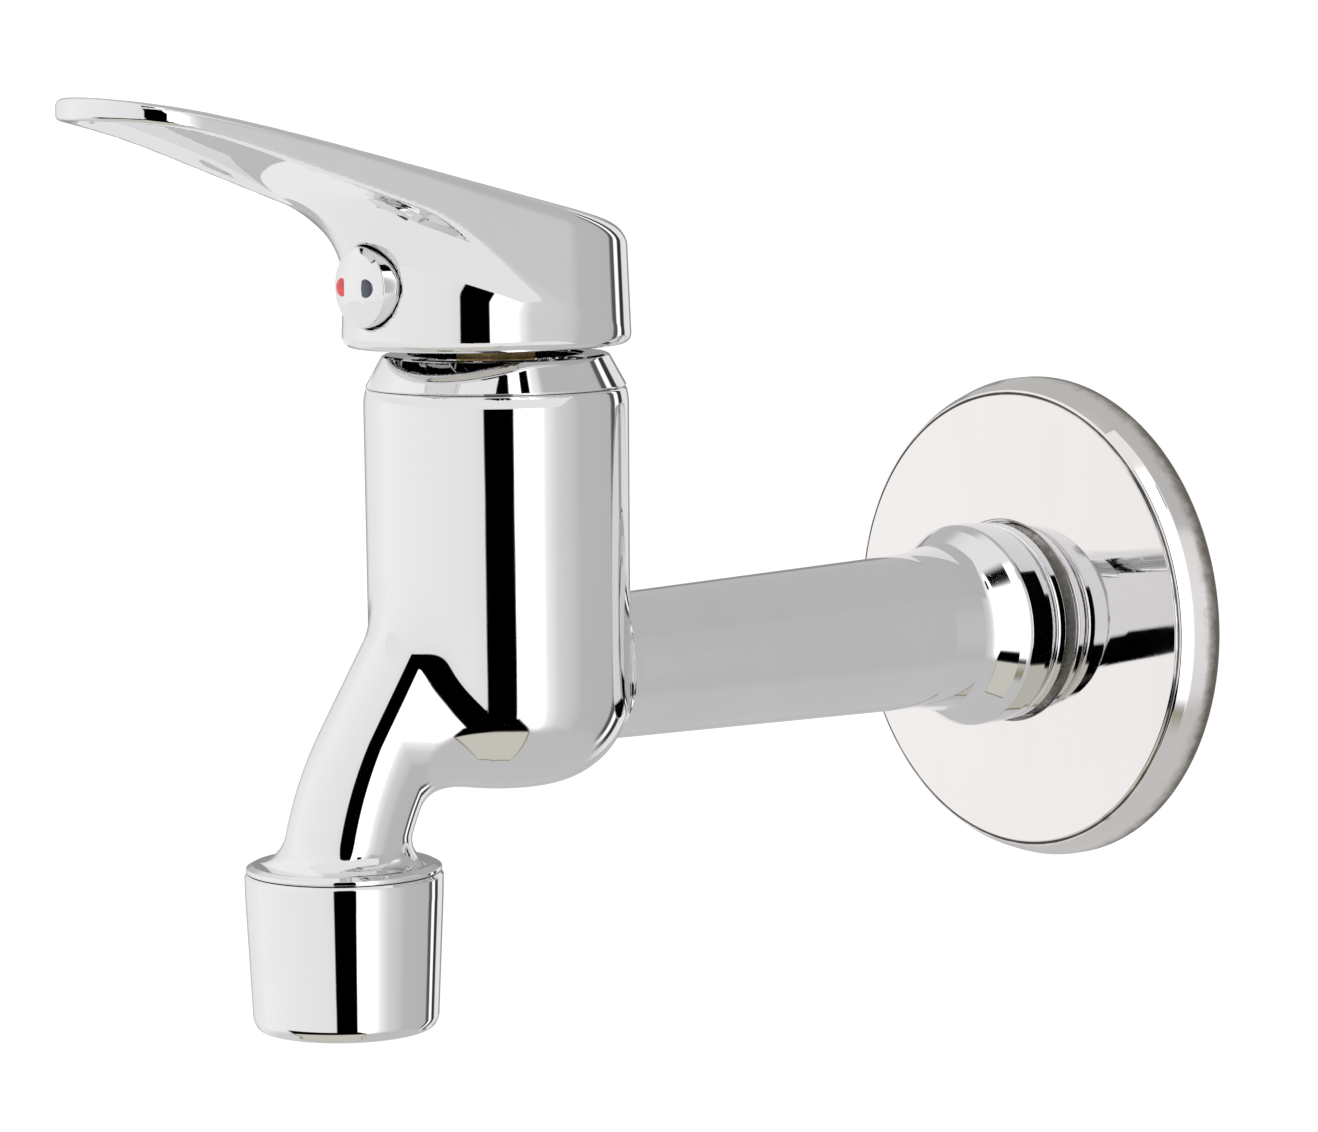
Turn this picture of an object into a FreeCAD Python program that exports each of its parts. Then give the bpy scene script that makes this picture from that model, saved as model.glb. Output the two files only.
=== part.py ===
import FreeCAD, Part
import math
import os

import Sketcher
from FreeCAD import Placement, Rotation, Vector

# A single-lever wall tap: a long shank out of the wall, an upright barrel with a cartridge in it,
# a cast spout with a screw-on aerator, and a lever on top. Millimetres, +Z up. The origin is the
# middle of the flange's back face, which is the wall plane; the tap stands out along -Y.

SIZES = {
    # barrel and its inside
    "reach": 96.0,
    "barrel_radius": 16.6,
    "barrel_foot_radius": 16.35,
    "barrel_bottom": -13.0,
    "barrel_corner": 11.5,
    "seam_height": 36.9,
    "barrel_edge": 1.1,
    "chamber_floor": 5.0,
    "chamber_radius": 12.7,
    "thread_seat": 29.0,
    "nut_thread_radius": 14.0,
    "port_radius": 2.5,
    "port_offset": 4.6,
    # shank through the wall
    "shank_depth": 13.2,
    "pipe_radius": 9.2,
    "pipe_wall_radius": 10.5,
    "pipe_bore": 6.5,
    "inlet_thread_radius": 13.22,
    "inlet_thread_length": 13.0,
    "relief_depth": 1.1,
    "relief_back": -0.1,
    "relief_front": 0.5,
    "collar_radius": 13.75,
    "second_ring": 9.4,
    "flare_start": 24.0,
    # wall flange
    "flange_radius": 33.0,
    "flange_crease_radius": 30.9,
    "flange_crease_depth": 6.0,
    "flange_hub_depth": 8.2,
    "flange_hole_radius": 13.55,
    "flange_sheet": 2.0,
    # spout and outlet
    "spout_radius": 7.6,
    "spout_bore": 4.2,
    "spout_lean": 33.0,
    "spout_bend": 35.0,
    "spout_end_lean": 11.0,
    "outlet_offset": 24.7,
    "outlet_seat": -21.4,
    "spigot_radius": 10.9,
    "spigot_end": -27.0,
    # aerator
    "sleeve_radius": 12.25,
    "sleeve_foot_radius": 11.4,
    "sleeve_bottom": -40.9,
    "sleeve_lip_radius": 9.2,
    "insert_radius": 10.3,
    "insert_top": -28.7,
    "insert_bottom": -38.5,
    # cartridge
    "cartridge_radius": 12.5,
    "cartridge_bottom": 5.2,
    "disc_face": 9.0,
    "disc_thickness": 3.0,
    "fixed_disc_radius": 10.6,
    "moving_disc_radius": 7.6,
    "neck_radius": 10.2,
    "neck_top": 35.5,
    "guide_radius": 9.2,
    "guide_bore": 9.3,
    "pivot_height": 27.5,
    "ball_height": 18.5,
    "ball_radius": 2.3,
    "stem_radius": 4.0,
    "stem_square": 7.0,
    "stem_top": 51.0,
    "pin_radius": 1.5,
    # bonnet and nut
    "bonnet_top": 41.05,
    "bonnet_top_radius": 14.4,
    "bonnet_foot_radius": 16.3,
    "nut_hex": 21.0,
    # lever handle
    "handle_bottom": 42.2,
    "handle_radius": 16.7,
    "handle_front_radius": 14.8,
    "handle_front_offset": 5.0,
    "handle_wall": 2.2,
    "lever_tip_radius": 12.0,
    "lever_tip_offset": 50.3,
    "lever_rim": 1.6,
    "button_height": 50.1,
    "button_radius": 5.0,
    "button_hole_radius": 5.15,
    "dot_radius": 1.15,
    "dot_offset": 2.35,
}

doc = FreeCAD.newDocument("wall_tap")
pieces = []


def make_sheet():
    """The driving dimensions, each a plain number with an alias."""
    sheet = doc.addObject("Spreadsheet::Sheet", "sizes")
    for row, (alias, number) in enumerate(SIZES.items(), start=1):
        sheet.set(f"A{row}", alias)
        sheet.set(f"B{row}", str(number))
        sheet.setAlias(f"B{row}", alias)
    doc.recompute()
    return sheet


sizes = make_sheet()


def size(alias):
    """A driving dimension as a plain number."""
    return float(getattr(sizes, alias))


def bind(thing, **sized):
    """Binds properties to expressions; a double underscore stands for a dot."""
    for name, text in sized.items():
        thing.setExpression(name.replace("__", "."), text)
    return thing


def keep(thing, label):
    """Names a finished sub-part."""
    thing.Label = label
    pieces.append(thing)
    return thing


def stand(thing, offset="0"):
    """Puts a piece drawn round its own Z axis on the barrel's axis, or offset mm in front of it."""
    return bind(thing, Placement__Base__y=f"-sizes.reach - ({offset})")


def lay(thing):
    """Turns a piece drawn upright so that its Z runs out of the wall."""
    thing.Placement = Placement(Vector(), Rotation(Vector(1, 0, 0), 90))
    return thing


# ---------------------------------------------------------------- sketch and solid helpers


def new_sketch(body, role):
    """A sketch on one of a body's own origin planes."""
    sketch = body.newObject("Sketcher::SketchObject", "Sketch")
    plane = next(f for f in body.Origin.OriginFeatures if f.Role == role)
    sketch.AttachmentSupport = [(plane, "")]
    sketch.MapMode = "FlatFace"
    return sketch


def locate(sketch, element, point, place):
    """Fixes a point of the sketch at a pair of expressions."""
    for kind, text in zip(("DistanceX", "DistanceY"), place):
        index = sketch.addConstraint(Sketcher.Constraint(kind, element, point, 1.0))
        sketch.setExpression(f"Constraints[{index}]", text)


def outline(sketch, corners):
    """A closed outline of straight edges. Each corner is a pair of expressions on the sheet."""
    first = sketch.GeometryCount
    count = len(corners)
    turn = 2 * math.pi / count
    start = [Vector(math.cos(i * turn), math.sin(i * turn), 0) for i in range(count)]
    for i in range(count):
        sketch.addGeometry(Part.LineSegment(start[i], start[(i + 1) % count]))
    for i in range(count):
        joint = Sketcher.Constraint("Coincident", first + i, 2, first + (i + 1) % count, 1)
        sketch.addConstraint(joint)
    for i, place in enumerate(corners):
        locate(sketch, first + i, 1, place)


def ring(sketch, centre, radius):
    """A circle whose centre and radius are expressions."""
    index = sketch.addGeometry(Part.Circle(Vector(0, 0, 0), Vector(0, 0, 1), 1.0))
    locate(sketch, index, 3, centre)
    sized = sketch.addConstraint(Sketcher.Constraint("Radius", index, 1.0))
    sketch.setExpression(f"Constraints[{sized}]", radius)


def on_sheet(text):
    """Writes bare aliases as references to the sheet."""
    words = text.replace("(", "( ").replace(")", " )").split(" ")
    return " ".join(f"sizes.{w}" if w in SIZES else w for w in words)


def turned(name, corners):
    """A body of revolution: corners are (radius, height) pairs of expressions."""
    body = doc.addObject("PartDesign::Body", name)
    sketch = new_sketch(body, "XZ_Plane")
    outline(sketch, [(on_sheet(r), on_sheet(z)) for r, z in corners])
    turn = body.newObject("PartDesign::Revolution", "Revolution")
    turn.Profile = sketch
    turn.ReferenceAxis = (sketch, ["V_Axis"])
    turn.Angle = 360
    doc.recompute()
    return body


def drilled(body, holes, pattern=0):
    """Cuts round holes right through a body along its Z: each is (x, y, radius)."""
    before = body.Shape.Volume
    sketch = new_sketch(body, "XY_Plane")
    for x, y, radius in holes:
        ring(sketch, (on_sheet(x), on_sheet(y)), on_sheet(radius))
    cut = body.newObject("PartDesign::Pocket", "Holes")
    cut.Profile = sketch
    cut.Type = 1
    cut.Midplane = True
    doc.recompute()
    if pattern:
        polar = body.newObject("PartDesign::PolarPattern", "Pattern")
        polar.Originals = [cut]
        polar.Axis = (sketch, ["N_Axis"])
        polar.Angle = 360
        polar.Occurrences = pattern
        body.Tip = polar
        doc.recompute()
    if body.Shape.Volume >= before:
        raise ValueError(f"{body.Name}: the holes cut nothing")
    return body


def rounded(body, radius, picks):
    """Fillets a body's circular edges: picks are (edge radius, edge height) numbers."""
    names = []
    for i, edge in enumerate(body.Shape.Edges, start=1):
        curve = edge.Curve
        if not isinstance(curve, Part.Circle):
            continue
        height = body.Placement.inverse().multVec(curve.Center).z
        for r, z in picks:
            if abs(curve.Radius - r) < 0.02 and abs(height - z) < 0.02:
                names.append(f"Edge{i}")
    if len(names) != len(picks):
        raise ValueError(f"{body.Name}: found {len(names)} of {len(picks)} edges")
    turned_shape = body.Tip
    fillet = body.newObject("PartDesign::Fillet", "Fillet")
    fillet.Base = (turned_shape, names)
    bind(fillet, Radius=str(radius))
    body.Tip = fillet
    doc.recompute()
    return body


def cylinder(radius, length, place=(0, 0, 0), along=(0, 0, 1)):
    """A Part cylinder; radius and length are expressions, place is its foot."""
    rod = doc.addObject("Part::Cylinder", "Cylinder")
    bind(rod, Radius=on_sheet(radius), Height=on_sheet(length))
    rod.Placement = Placement(Vector(*place), Rotation(Vector(0, 0, 1), Vector(*along)))
    return rod


def block(width, depth, height, place):
    """A Part box of three expressions, with its lowest corner at place."""
    box = doc.addObject("Part::Box", "Box")
    bind(box, Length=on_sheet(width), Width=on_sheet(depth), Height=on_sheet(height))
    box.Placement = Placement(Vector(*place), Rotation())
    return box


def fused(things):
    """The union of several solids."""
    union = doc.addObject("Part::MultiFuse", "Fusion")
    union.Shapes = things
    union.Refine = True
    doc.recompute()
    return union


def cut(base, *tools):
    """base without the tools."""
    tool = tools[0] if len(tools) == 1 else fused(list(tools))
    rest = doc.addObject("Part::Cut", "Cut")
    rest.Base = base
    rest.Tool = tool
    rest.Refine = True
    doc.recompute()
    if rest.Shape.Volume >= base.Shape.Volume - 1e-6:
        raise ValueError(f"{base.Name}: the cut removed nothing")
    return rest


def shared(first, second):
    """The space that two solids share."""
    common = doc.addObject("Part::Common", "Common")
    common.Base = first
    common.Tool = second
    common.Refine = True
    doc.recompute()
    return common


def group(label, things):
    """Separate solids kept as one node."""
    compound = doc.addObject("Part::Compound", label)
    compound.Links = things
    doc.recompute()
    return keep(compound, label)


def extruded(wire, direction):
    """A prism from a closed wire, for outlines that mix lines, arcs and curves."""
    prism = doc.addObject("Part::Feature", "Prism")
    prism.Shape = Part.Face(wire).extrude(direction)
    return prism


# ---------------------------------------------------------------- tap body: barrel and spout


def spout_route():
    """Points of the spout's centre line beside the barrel's axis, as (forward, up) numbers."""
    lean = math.radians(size("spout_lean"))
    end_lean = math.radians(size("spout_end_lean"))
    bend = size("spout_bend")
    mid_lean = (lean + end_lean) / 2
    end_up = size("outlet_seat") + 1.0
    start_forward = size("outlet_offset") - bend * (math.cos(end_lean) - math.cos(lean))
    start_up = end_up + bend * (math.sin(lean) - math.sin(end_lean))

    def on_arc(angle):
        forward = start_forward + bend * (math.cos(angle) - math.cos(lean))
        up = start_up - bend * (math.sin(lean) - math.sin(angle))
        return forward, up

    return on_arc(lean), on_arc(mid_lean), on_arc(end_lean)


def spout_solid(radius, head):
    """A round bar along the spout, from head mm back up the straight part to the outlet."""
    places = [Vector(0, -size("reach") - forward, up) for forward, up in spout_route()]
    lean = math.radians(size("spout_lean"))
    down = Vector(0, -math.sin(lean), -math.cos(lean))
    top = places[0] - down * head
    line = Part.LineSegment(top, places[0]).toShape()
    arc = Part.Arc(*places).toShape()
    spine = doc.addObject("Part::Feature", "SpoutLine")
    spine.Shape = Part.Wire([line, arc])
    profile = doc.addObject("Part::Circle", "SpoutSection")
    bind(profile, Radius=on_sheet(radius))
    profile.Placement = Placement(top, Rotation(Vector(0, 0, 1), down))
    doc.recompute()
    sweep = doc.addObject("Part::Sweep", "SpoutSweep")
    sweep.Sections = [profile]
    sweep.Spine = (spine, ["Edge1", "Edge2"])
    sweep.Solid = True
    doc.recompute()
    return sweep


def make_tap_body():
    """The brass casting: barrel with a rounded foot, leaning spout and threaded outlet spigot."""
    barrel = turned(
        "barrel",
        [
            ("0", "barrel_bottom"),
            ("barrel_foot_radius", "barrel_bottom"),
            ("barrel_radius", "seam_height - barrel_edge"),
            ("barrel_radius - barrel_edge * 0.3", "seam_height"),
            ("0", "seam_height"),
        ],
    )
    foot = (size("barrel_foot_radius"), size("barrel_bottom"))
    rounded(barrel, on_sheet("barrel_corner"), [foot])
    stand(barrel)
    shoulder = turned(
        "shoulder",
        [
            ("0", "outlet_seat + 5"),
            ("spout_radius", "outlet_seat + 5"),
            ("spout_radius + 0.5", "outlet_seat + 3"),
            ("spout_radius + 1.9", "outlet_seat + 1.4"),
            ("sleeve_radius - 0.7", "outlet_seat + 0.5"),
            ("sleeve_radius - 0.25", "outlet_seat"),
            ("spigot_radius", "outlet_seat"),
            ("spigot_radius", "spigot_end + 0.4"),
            ("spigot_radius - 0.4", "spigot_end"),
            ("0", "spigot_end"),
        ],
    )
    stand(shoulder, on_sheet("outlet_offset"))
    spout = spout_solid("spout_radius", 22.0)
    chamber = turned(
        "chamber",
        [
            ("0", "chamber_floor"),
            ("chamber_radius", "chamber_floor"),
            ("chamber_radius", "thread_seat"),
            ("nut_thread_radius", "thread_seat"),
            ("nut_thread_radius", "seam_height + 1"),
            ("0", "seam_height + 1"),
        ],
    )
    stand(chamber)
    back = -size("reach")
    port = size("port_offset")
    inlet_port = cylinder("port_radius", "8", (0, back + port, -2))
    outlet_port = cylinder("port_radius", "6.5", (0, back - port, -1))
    inlet_way = cylinder("4.5", "12", (0, back + port - 2, -1.5), (0, 1, 0))
    cross_way = cylinder("2.8", "10", (0, back - port + 2, 0), (0, -1, 0))
    socket = cylinder("pipe_radius", "10", (0, back + size("shank_depth"), 0), (0, 1, 0))
    bore = spout_solid("spout_bore", 9.8)
    outlet = cylinder("7", "5.6", (0, back - size("outlet_offset"), size("spigot_end") - 1))
    throat = cylinder("spout_bore", "8", (0, back - size("outlet_offset"), size("spigot_end")))
    casting = fused([barrel, spout, shoulder])
    hollows = [chamber, inlet_port, outlet_port, inlet_way, cross_way, socket, bore, outlet, throat]
    keep(cut(casting, *hollows), "tap_body")


# ---------------------------------------------------------------- shank and wall flange


def make_shank():
    """Turned brass tube: wall thread, relieved level with the wall, rings, a flare, and a taper."""
    shank = turned(
        "shank",
        [
            ("pipe_bore", "0 - inlet_thread_length"),
            ("inlet_thread_radius - 1", "0 - inlet_thread_length"),
            ("inlet_thread_radius", "1 - inlet_thread_length"),
            ("inlet_thread_radius", "relief_back"),
            ("inlet_thread_radius - relief_depth", "relief_back"),
            ("inlet_thread_radius - relief_depth", "relief_front"),
            ("inlet_thread_radius", "relief_front"),
            ("inlet_thread_radius", "second_ring"),
            ("collar_radius - 0.15", "second_ring"),
            ("collar_radius - 0.15", "11.2"),
            ("collar_radius - 0.9", "11.2"),
            ("collar_radius - 0.9", "11.8"),
            ("collar_radius", "11.8"),
            ("collar_radius", "16"),
            ("collar_radius - 1.4", "17.4"),
            ("pipe_wall_radius + 0.7", "flare_start - 4.6"),
            ("pipe_wall_radius", "flare_start"),
            ("pipe_radius", "reach - barrel_radius - 0.5"),
            ("pipe_radius", "reach - shank_depth"),
            ("pipe_bore", "reach - shank_depth"),
        ],
    )
    ring_radius = size("collar_radius")
    second = ring_radius - 0.15
    rounded(shank, 0.35, [(second, size("second_ring"))])
    rounded(shank, 0.7, [(second, 11.2)])
    rounded(shank, 0.8, [(ring_radius, 11.8)])
    keep(lay(shank), "inlet_shank")


def make_flange():
    """Spun brass escutcheon, hollow behind, that slips over the wall thread."""
    flange = turned(
        "flange",
        [
            ("flange_hole_radius", "0.8"),
            ("flange_hole_radius + 2", "0.8"),
            ("flange_hole_radius + 2", "flange_hub_depth - flange_sheet - 0.2"),
            ("flange_crease_radius - 2", "flange_crease_depth - flange_sheet"),
            ("flange_radius - flange_sheet", "1.4"),
            ("flange_radius - flange_sheet", "0"),
            ("flange_radius - 0.3", "0"),
            ("flange_radius", "0.5"),
            ("flange_radius", "1.9"),
            ("flange_radius - 0.5", "4.1"),
            ("flange_crease_radius", "flange_crease_depth"),
            ("flange_hole_radius + 0.3", "flange_hub_depth"),
            ("flange_hole_radius", "flange_hub_depth - 0.3"),
        ],
    )
    keep(lay(flange), "wall_flange")
    seal = turned(
        "wall_seal",
        [
            ("flange_radius - 7.5", "0"),
            ("flange_radius - 3.2", "0"),
            ("flange_radius - 3.2", "2.4"),
            ("flange_radius - 4.5", "3.6"),
            ("flange_radius - 7.5", "4"),
        ],
    )
    keep(lay(seal), "wall_seal_ring")


# ---------------------------------------------------------------- aerator


def make_aerator():
    """Chrome sleeve screwed on the spigot, with a plastic insert, discs and a gasket inside."""
    sleeve = turned(
        "sleeve",
        [
            ("spigot_radius + 0.08", "outlet_seat - 0.1"),
            ("sleeve_radius - 0.35", "outlet_seat - 0.1"),
            ("sleeve_radius", "outlet_seat - 0.45"),
            ("sleeve_radius", "outlet_seat - 4"),
            ("sleeve_foot_radius", "sleeve_bottom + 3.4"),
            ("sleeve_foot_radius - 0.5", "sleeve_bottom + 1.4"),
            ("sleeve_foot_radius - 1.7", "sleeve_bottom"),
            ("sleeve_lip_radius", "sleeve_bottom"),
            ("sleeve_lip_radius", "insert_bottom - 0.1"),
            ("insert_radius + 0.3", "insert_bottom - 0.1"),
            ("insert_radius + 0.3", "spigot_end - 1.6"),
            ("spigot_radius + 0.08", "spigot_end - 1.6"),
        ],
    )
    keep(stand(sleeve, on_sheet("outlet_offset")), "aerator_sleeve")
    gasket = turned(
        "gasket",
        [
            ("7.4", "spigot_end"),
            ("10.2", "spigot_end"),
            ("10.2", "insert_top"),
            ("7.4", "insert_top"),
        ],
    )
    keep(stand(gasket, on_sheet("outlet_offset")), "aerator_gasket")
    shell = turned(
        "insert_shell",
        [
            ("insert_radius - 1.3", "insert_top"),
            ("insert_radius", "insert_top"),
            ("insert_radius", "insert_bottom"),
            ("insert_radius - 2.2", "insert_bottom"),
            ("insert_radius - 2.2", "insert_bottom + 1.2"),
            ("insert_radius - 1.3", "insert_bottom + 1.2"),
        ],
    )
    stand(shell, on_sheet("outlet_offset"))
    forward = -size("reach") - size("outlet_offset")
    low = size("insert_bottom")
    long = 2 * size("insert_radius") - 3.6
    bars = []
    for k in range(3):
        bar = doc.addObject("Part::Box", "Bar")
        bind(bar, Length=on_sheet("insert_radius * 2 - 3.6"))
        bar.Width = 0.7
        bar.Height = 1.2
        turn = Rotation(Vector(0, 0, 1), 60 * k)
        corner = Vector(0, forward, low) + turn.multVec(Vector(-long / 2, -0.35, 0))
        bar.Placement = Placement(corner, turn)
        bars.append(bar)
    keep(fused([shell, *bars]), "aerator_insert")
    diffuser = turned(
        "diffuser",
        [
            ("0", "insert_top - 3"),
            ("insert_radius - 1.3", "insert_top - 3"),
            ("insert_radius - 1.3", "insert_top - 1.6"),
            ("0", "insert_top - 1.6"),
        ],
    )
    drilled(diffuser, [("6.6", "0", "0.8")], pattern=12)
    keep(stand(diffuser, on_sheet("outlet_offset")), "aerator_diffuser")
    screens = []
    for level in ("3.4", "2.2"):
        height = f"insert_bottom + {level}"
        screen = turned(
            "screen",
            [
                ("0", height),
                ("insert_radius - 1.35", height),
                ("insert_radius - 1.35", height + " + 0.4"),
                ("0", height + " + 0.4"),
            ],
        )
        screens.append(stand(screen, on_sheet("outlet_offset")))
    group("aerator_screens", screens)


# ---------------------------------------------------------------- cartridge


def make_cartridge():
    """Ceramic disc cartridge: housing, base, seals, two discs, carrier, guide and stem."""
    port = "port_offset"
    base = turned(
        "base",
        [
            ("0", "cartridge_bottom"),
            ("cartridge_radius", "cartridge_bottom"),
            ("cartridge_radius", "disc_face"),
            ("0", "disc_face"),
        ],
    )
    drilled(base, [("0", port, "port_radius"), ("0", "0 - port_offset", "port_radius")])
    back = -size("reach")
    low = size("cartridge_bottom")
    stand(base)
    grooves = []
    seals = []
    for side in (1, -1):
        place = (0, back + side * size("port_offset"))
        grooves.append(cylinder("port_radius + 1.5", "1", (*place, low - 0.01)))
        outer = cylinder("port_radius + 1.5", "1.18", (*place, size("chamber_floor")))
        inner = cylinder("port_radius + 0.2", "1.18", (*place, size("chamber_floor")))
        seals.append(cut(outer, inner))
    keep(cut(base, *grooves), "cartridge_base")
    group("base_seals", seals)

    housing = turned(
        "housing",
        [
            ("fixed_disc_radius + 0.2", "disc_face"),
            ("cartridge_radius", "disc_face"),
            ("cartridge_radius", "thread_seat"),
            ("neck_radius", "thread_seat"),
            ("neck_radius", "neck_top"),
            ("guide_bore", "neck_top"),
            ("guide_bore", "22.2"),
            ("fixed_disc_radius + 0.2", "22.2"),
        ],
    )
    keep(stand(housing), "cartridge_housing")

    fixed = turned(
        "fixed",
        [
            ("0", "disc_face"),
            ("fixed_disc_radius", "disc_face"),
            ("fixed_disc_radius", "disc_face + disc_thickness"),
            ("0", "disc_face + disc_thickness"),
        ],
    )
    drilled(fixed, [("0", port, "port_radius"), ("0", "0 - port_offset", "port_radius")])
    keep(stand(fixed), "fixed_ceramic_disc")

    slip = 0.05
    under = size("disc_face") + size("disc_thickness") + slip
    top = under + size("disc_thickness")
    moving = cylinder("moving_disc_radius", "disc_thickness", (0, back, under))
    pocket = fused(
        [
            block("4.4", "4.2", "1.6", (-2.2, back + 0.8, under - 0.01)),
            cylinder("2.2", "1.6", (0, back + 0.8, under - 0.01)),
            cylinder("2.2", "1.6", (0, back + 4.2, under - 0.01)),
        ]
    )
    keep(cut(moving, pocket), "moving_ceramic_disc")

    carrier = cylinder("moving_disc_radius", "4.6", (0, back, top))
    well = cylinder("ball_radius + 0.15", "6", (0, back, size("ball_height") - 2.6))
    keep(cut(carrier, well), "disc_carrier")

    pivot = size("pivot_height")
    guide = turned(
        "guide",
        [
            ("0", "20.2"),
            ("fixed_disc_radius - 0.2", "20.2"),
            ("fixed_disc_radius - 0.2", "22"),
            ("guide_radius", "22"),
            ("guide_radius", "30.2"),
            ("guide_radius - 1", "30.2"),
            ("guide_radius - 1", "31.4"),
            ("guide_radius", "31.4"),
            ("guide_radius", "neck_top - 0.5"),
            ("0", "neck_top - 0.5"),
        ],
    )
    stand(guide)
    slot = block("8.2", "13.2", "20", (-4.1, back - 6.4, 18))
    cross = cylinder("pin_radius", "20", (-10, back, pivot), (1, 0, 0))
    keep(cut(guide, slot, cross), "spindle_guide")
    oring = doc.addObject("Part::Torus", "GuideRing")
    bind(oring, Radius1=on_sheet("guide_radius - 0.46"))
    oring.Radius2 = 0.5
    oring.Placement = Placement(Vector(0, back, 30.8), Rotation())
    keep(oring, "guide_o_ring")
    pin = cylinder("pin_radius", "17.4", (-8.7, back, pivot), (1, 0, 0))
    keep(pin, "stem_pin")

    ball = doc.addObject("Part::Sphere", "Ball")
    bind(ball, Radius=on_sheet("ball_radius"))
    ball.Placement = Placement(Vector(0, back, size("ball_height")), Rotation())
    waist = cylinder("1.7", "5", (0, back, size("ball_height")))
    shaft = cylinder("stem_radius", "14.3", (0, back, 22.5))
    half = size("stem_square") / 2
    square = block("stem_square", "stem_square", "stem_top - 36", (-half, back - half, 36))
    eye = cylinder("pin_radius + 0.05", "20", (-10, back, pivot), (1, 0, 0))
    keep(cut(fused([ball, waist, shaft, square]), eye), "lever_stem")


def make_retainers():
    """The brass nut that clamps the cartridge, its slip ring, and the chrome bonnet over it."""
    back = -size("reach")
    nut = turned(
        "nut",
        [
            ("neck_radius + 0.2", "thread_seat + 0.4"),
            ("nut_thread_radius - 0.05", "thread_seat + 0.4"),
            ("nut_thread_radius - 0.05", "35"),
            ("neck_radius + 0.2", "35"),
        ],
    )
    stand(nut)
    hexagon = doc.addObject("Part::Prism", "Hexagon")
    hexagon.Polygon = 6
    bind(hexagon, Circumradius=on_sheet("nut_hex / 1.732"))
    hexagon.Height = 2.4
    hexagon.Placement = Placement(Vector(0, back, 35), Rotation())
    eye = cylinder("neck_radius + 0.2", "6", (0, back, 34))
    keep(fused([nut, cut(hexagon, eye)]), "cartridge_nut")
    slip_ring = turned(
        "slip_ring",
        [
            ("neck_radius + 0.2", "thread_seat"),
            ("cartridge_radius", "thread_seat"),
            ("cartridge_radius", "thread_seat + 0.4"),
            ("neck_radius + 0.2", "thread_seat + 0.4"),
        ],
    )
    keep(stand(slip_ring), "nut_slip_ring")
    bonnet = turned(
        "bonnet",
        [
            ("nut_thread_radius - 1.1", "35.2"),
            ("nut_thread_radius - 0.05", "35.2"),
            ("nut_thread_radius - 0.05", "seam_height"),
            ("bonnet_foot_radius - 0.1", "seam_height"),
            ("bonnet_foot_radius", "seam_height + 0.15"),
            ("bonnet_top_radius", "bonnet_top - 0.3"),
            ("bonnet_top_radius - 0.35", "bonnet_top"),
            ("11.2", "bonnet_top"),
            ("10.9", "bonnet_top - 0.3"),
            ("10.9", "bonnet_top - 1.8"),
            ("nut_thread_radius - 1.1", "bonnet_top - 2.6"),
        ],
    )
    keep(stand(bonnet), "bonnet_collar")


# ---------------------------------------------------------------- lever handle


def plan_outline(back_radius, front_radius, front_offset):
    """A closed wire round two circles and their common tangents, seen from above."""
    y0 = -size("reach")
    lean = math.asin((back_radius - front_radius) / front_offset)
    side = Vector(math.cos(lean), -math.sin(lean), 0)
    mirrored = Vector(-side.x, side.y, 0)
    back_centre = Vector(0, y0, 0)
    front_centre = Vector(0, y0 - front_offset, 0)
    right = back_centre + side * back_radius
    left = back_centre + mirrored * back_radius
    front_right = front_centre + side * front_radius
    front_left = front_centre + mirrored * front_radius
    back_arc = Part.Arc(right, back_centre + Vector(0, back_radius, 0), left)
    front_arc = Part.Arc(front_left, front_centre - Vector(0, front_radius, 0), front_right)
    edges = [
        back_arc.toShape(),
        Part.makeLine(left, front_left),
        front_arc.toShape(),
        Part.makeLine(front_right, right),
    ]
    return Part.Wire(edges)


def side_point(forward, up):
    """A point in the lever's middle plane."""
    return Vector(0, -size("reach") - forward, up)


def top_curve():
    """The lever's top line, from behind the barrel to past the tip."""
    straight = Part.LineSegment(side_point(-20, 55.1), side_point(38, 69.65))
    flow = Part.BSplineCurve()
    crest = [side_point(38, 69.65), side_point(50, 72.4), side_point(64, 74.1)]
    slope = straight.EndPoint - straight.StartPoint
    flow.interpolate(crest, InitialTangent=slope.normalize(), FinalTangent=Vector(0, -1, 0.06))
    return straight, flow


def side_profile(underside):
    """The prism between the lever's top line and a wire of underside edges."""
    straight, flow = top_curve()
    tip = Part.LineSegment(flow.EndPoint, underside[-1].EndPoint)
    heel = Part.LineSegment(straight.StartPoint, underside[0].StartPoint)
    edges = [curve.toShape() for curve in (straight, flow, tip, *underside, heel)]
    wire = Part.Wire(Part.sortEdges(edges)[0])
    wire.translate(Vector(-20, 0, 0))
    return extruded(wire, Vector(40, 0, 0))


def arm_underside():
    """The lever's lower edge: level under the head, then rising to the tip."""
    low = Part.LineSegment(side_point(-20, 53.4), side_point(8, 53.4))
    rise = Part.BSplineCurve()
    rise.interpolate(
        [side_point(8, 53.4), side_point(17, 57.9), side_point(40, 66.25), side_point(64, 71.3)],
        InitialTangent=Vector(0, -1, 0.3),
        FinalTangent=Vector(0, -1, 0.05),
    )
    return [low, rise]


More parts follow.
